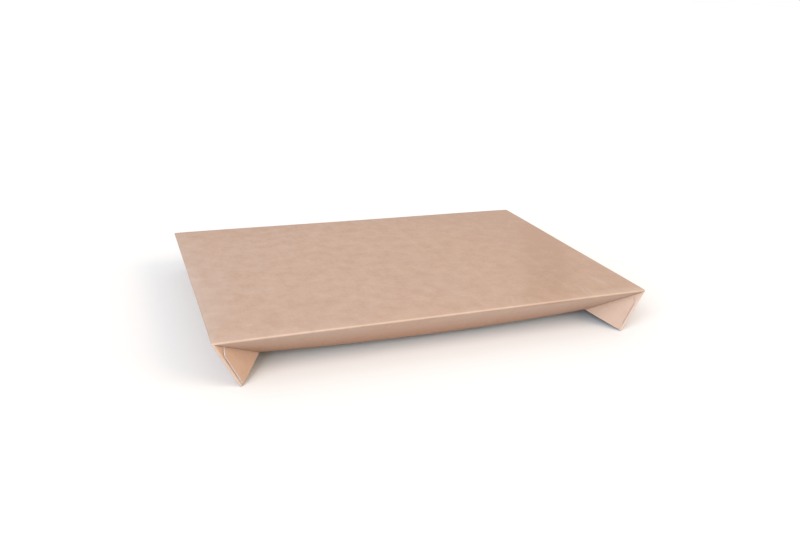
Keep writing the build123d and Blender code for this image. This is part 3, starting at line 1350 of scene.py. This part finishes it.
@dataclass
class Flutes:
    """Waved layer where a cut crosses it: a ribbon between the two paper faces."""

    board: Board
    finishes: list[bpy.types.Material]
    wave_steps: int = 12
    inset: float = 0.1 * MM
    overrun: float = 0.3 * MM

    def ribbon(self, middle: Array, out: Array, into: Array, across: Array, groove: float) -> Patch:
        """Waved ribbon along one cut.

        Args:
            middle: Points along the cut, on the board's middle surface.
            out: Direction out of the board.
            into: Direction from the cut into the board.
            across: Place of each point across the flutes, on the unfolded sheet.
            groove: Depth of the groove that it shows in.

        Returns:
            A patch: at place v across the flutes it stands off the middle by A sin(2 pi v / pitch), and
            it runs into the board to just past the bottom of the groove.
        """
        board = self.board
        order = np.argsort(across)
        place = even(float(across.min()), float(across.max()), board.pitch / self.wave_steps)
        line = np.stack([np.interp(place, across[order], middle[order, k]) for k in range(3)], -1)
        run = np.gradient(line, axis=0)
        run /= np.linalg.norm(run, axis=1, keepdims=True)
        height = board.half - board.liner - board.medium / 2
        phase = 2 * pi * place / board.pitch
        lift = height * np.sin(phase)[:, None] * out
        steep = np.arctan(2 * pi * height / board.pitch * np.cos(phase))[:, None]
        normal = np.cos(steep) * out - np.sin(steep) * run
        depth = np.linspace(self.inset, groove + self.overrun, 3)[:, None, None]
        ribbon = (line + lift)[None] + depth * into
        flat = np.stack(np.broadcast_arrays(depth[..., 0], place[None]), -1)
        return Patch(ribbon, normal[None] + 0 * ribbon, flat)

    def in_bottoms(self, tray: Tray) -> list[Patch]:
        """Ribbons in the lower edges of the end walls and the flaps."""
        made = []
        _, y = tray.base_lines()
        wall, flap = tray.end(y)[1], tray.flap(y[0])[1]
        for x_side in (1, -1):
            into = -tray.form.end_down * np.array([x_side, 1, 1])
            for patch, y_side in ((wall, 1), (flap, 1), (flap, -1)):
                row = patch.mirrored(x_side, y_side)
                made.append(self.ribbon(row.middle[-1], row.out[-1, 0], into, row.flat[-1, :, 1],
                                        self.board.open_depth))
        return made

    def build(self, name: str, patches: list[Patch]) -> bpy.types.Object:
        """Makes one piece of several ribbons."""
        slab = Slab(patches, self.board.medium, self.board)
        return slab.build(name, self.finishes)


@dataclass
class Studio:
    """Pale floor, soft light and the camera."""

    azimuth: float = radians(22.64)
    elevation: float = radians(21.015)
    roll: float = radians(-3.01)
    place: tuple[float, float, float] = (-0.78524, -1.91442, 0.89388)
    lens: float = 33.206
    sensor: float = 36.0
    farthest: float = 400.0
    floor_size: float = 240.0
    floor_tone: tuple = rgb(0.585, 0.557, 0.54)
    lamp_distance: float = 6.0
    softness: float = 45.0
    sky: tuple = rgb(1.0, 1.0, 1.0)
    lamps: tuple = (
        ("key", -52.0, 28.0, 4.4, (0.75, 0.88, 1.0)),
        ("fill", 52.0, 28.0, 2.25, (1.0, 0.84, 0.66)),
        ("front", 0.0, 8.0, 1.65, (1.0, 0.86, 0.72)),
    )

    def camera(self) -> None:
        """Makes the camera: turned round Z by the azimuth, tipped down by the elevation, then rolled."""
        level = np.array([cos(self.azimuth), -sin(self.azimuth), 0])
        forward = np.array([sin(self.azimuth) * cos(self.elevation),
                            cos(self.azimuth) * cos(self.elevation), -sin(self.elevation)])
        down = np.cross(forward, level)
        right = cos(self.roll) * level + sin(self.roll) * down
        up = sin(self.roll) * level - cos(self.roll) * down
        data = bpy.data.cameras.new("camera")
        data.lens, data.sensor_width, data.clip_end = self.lens, self.sensor, self.farthest
        made = linked("camera", data)
        turn = Matrix([right, up, -forward]).transposed().to_4x4()
        made.matrix_world = Matrix.Translation(self.place) @ turn
        bpy.context.scene.camera = made

    def floor(self) -> None:
        """Lays a plain pale floor under the box."""
        half = self.floor_size / 2
        mesh = bpy.data.meshes.new("floor")
        mesh.from_pydata([(-half, -half, 0), (half, -half, 0), (half, half, 0), (-half, half, 0)], [],
                         [(0, 1, 2, 3)])
        mesh.materials.append(Graph("pale_floor").finish(self.floor_tone, 0.8, None, Specular_IOR_Level=0.1))
        made = linked("floor", mesh)

    def lamp(self, name: str, azimuth: float, height: float, strength: float, colour: tuple) -> None:
        """Hangs a large far lamp, which lights the floor evenly.

        Args:
            name: Name of the lamp.
            azimuth: Side that it hangs on, in degrees: 0 in front, 90 at the right, -90 at the left.
            height: Angle above the floor, in degrees.
            strength: Light on a surface that faces it, in watts per square metre.
            colour: Colour of its light.
        """
        data = bpy.data.lights.new(name, "SUN")
        data.energy, data.angle, data.color = strength, radians(self.softness), colour
        made = linked(name, data)
        turn, rise = radians(azimuth), radians(height)
        towards = Vector((sin(turn) * cos(rise), -cos(turn) * cos(rise), sin(rise)))
        aim = (-towards).to_track_quat("-Z", "Y").to_matrix().to_4x4()
        made.matrix_world = Matrix.Translation(towards * self.lamp_distance) @ aim

    def light(self) -> None:
        """Lights the box from all round, with a soft key from the left."""
        world = bpy.data.worlds.new("studio")
        world.use_nodes = True
        world.node_tree.nodes["Background"].inputs[0].default_value = self.sky
        world.node_tree.nodes["Background"].inputs[1].default_value = 1.0
        bpy.context.scene.world = world
        for lamp in self.lamps:
            self.lamp(*lamp)
        bpy.context.scene.view_settings.view_transform = "Standard"


def main() -> None:
    """Builds the box and its studio, and reports each piece."""
    logging.basicConfig(level=logging.INFO, format="%(name)s: %(message)s")
    board = Board()
    form = Form(board, *CAD_BOX)
    outer = KraftFace("kraft_outside", scuffs=SCUFFS).material()
    inner = KraftFace("kraft_inside", cream=rgb(0.38, 0.27, 0.20)).material()
    cut, fluting = CUT_PAPER.material(), FLUTING_PAPER.material()
    finishes = [outer, inner, cut, fluting]
    tray = Tray(form, finishes)
    flutes = Flutes(board, [fluting] * len(Side))
    pieces = tray.build()
    pieces.append(flutes.build("bottom_flutes", flutes.in_bottoms(tray)))
    edges = []
    for y_name, y_side in (("front", 1), ("back", -1)):
        for x_name, x_side in (("left", 1), ("right", -1)):
            gusset = Gusset(form, finishes, x_side, y_side, f"{y_name}_{x_name}")
            pieces += gusset.build()
            edges.append(gusset.ribbon(flutes))
    pieces.append(flutes.build("gusset_flutes", edges))
    for piece in pieces:
        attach(piece, BODY)
        log.info("%s: %d vertices, %d faces", piece.name, len(piece.data.vertices), len(piece.data.polygons))
    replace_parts(pieces[0], NODE)
    studio = Studio()
    studio.camera()
    studio.floor()
    studio.light()


if __name__ == "__main__":
    main()
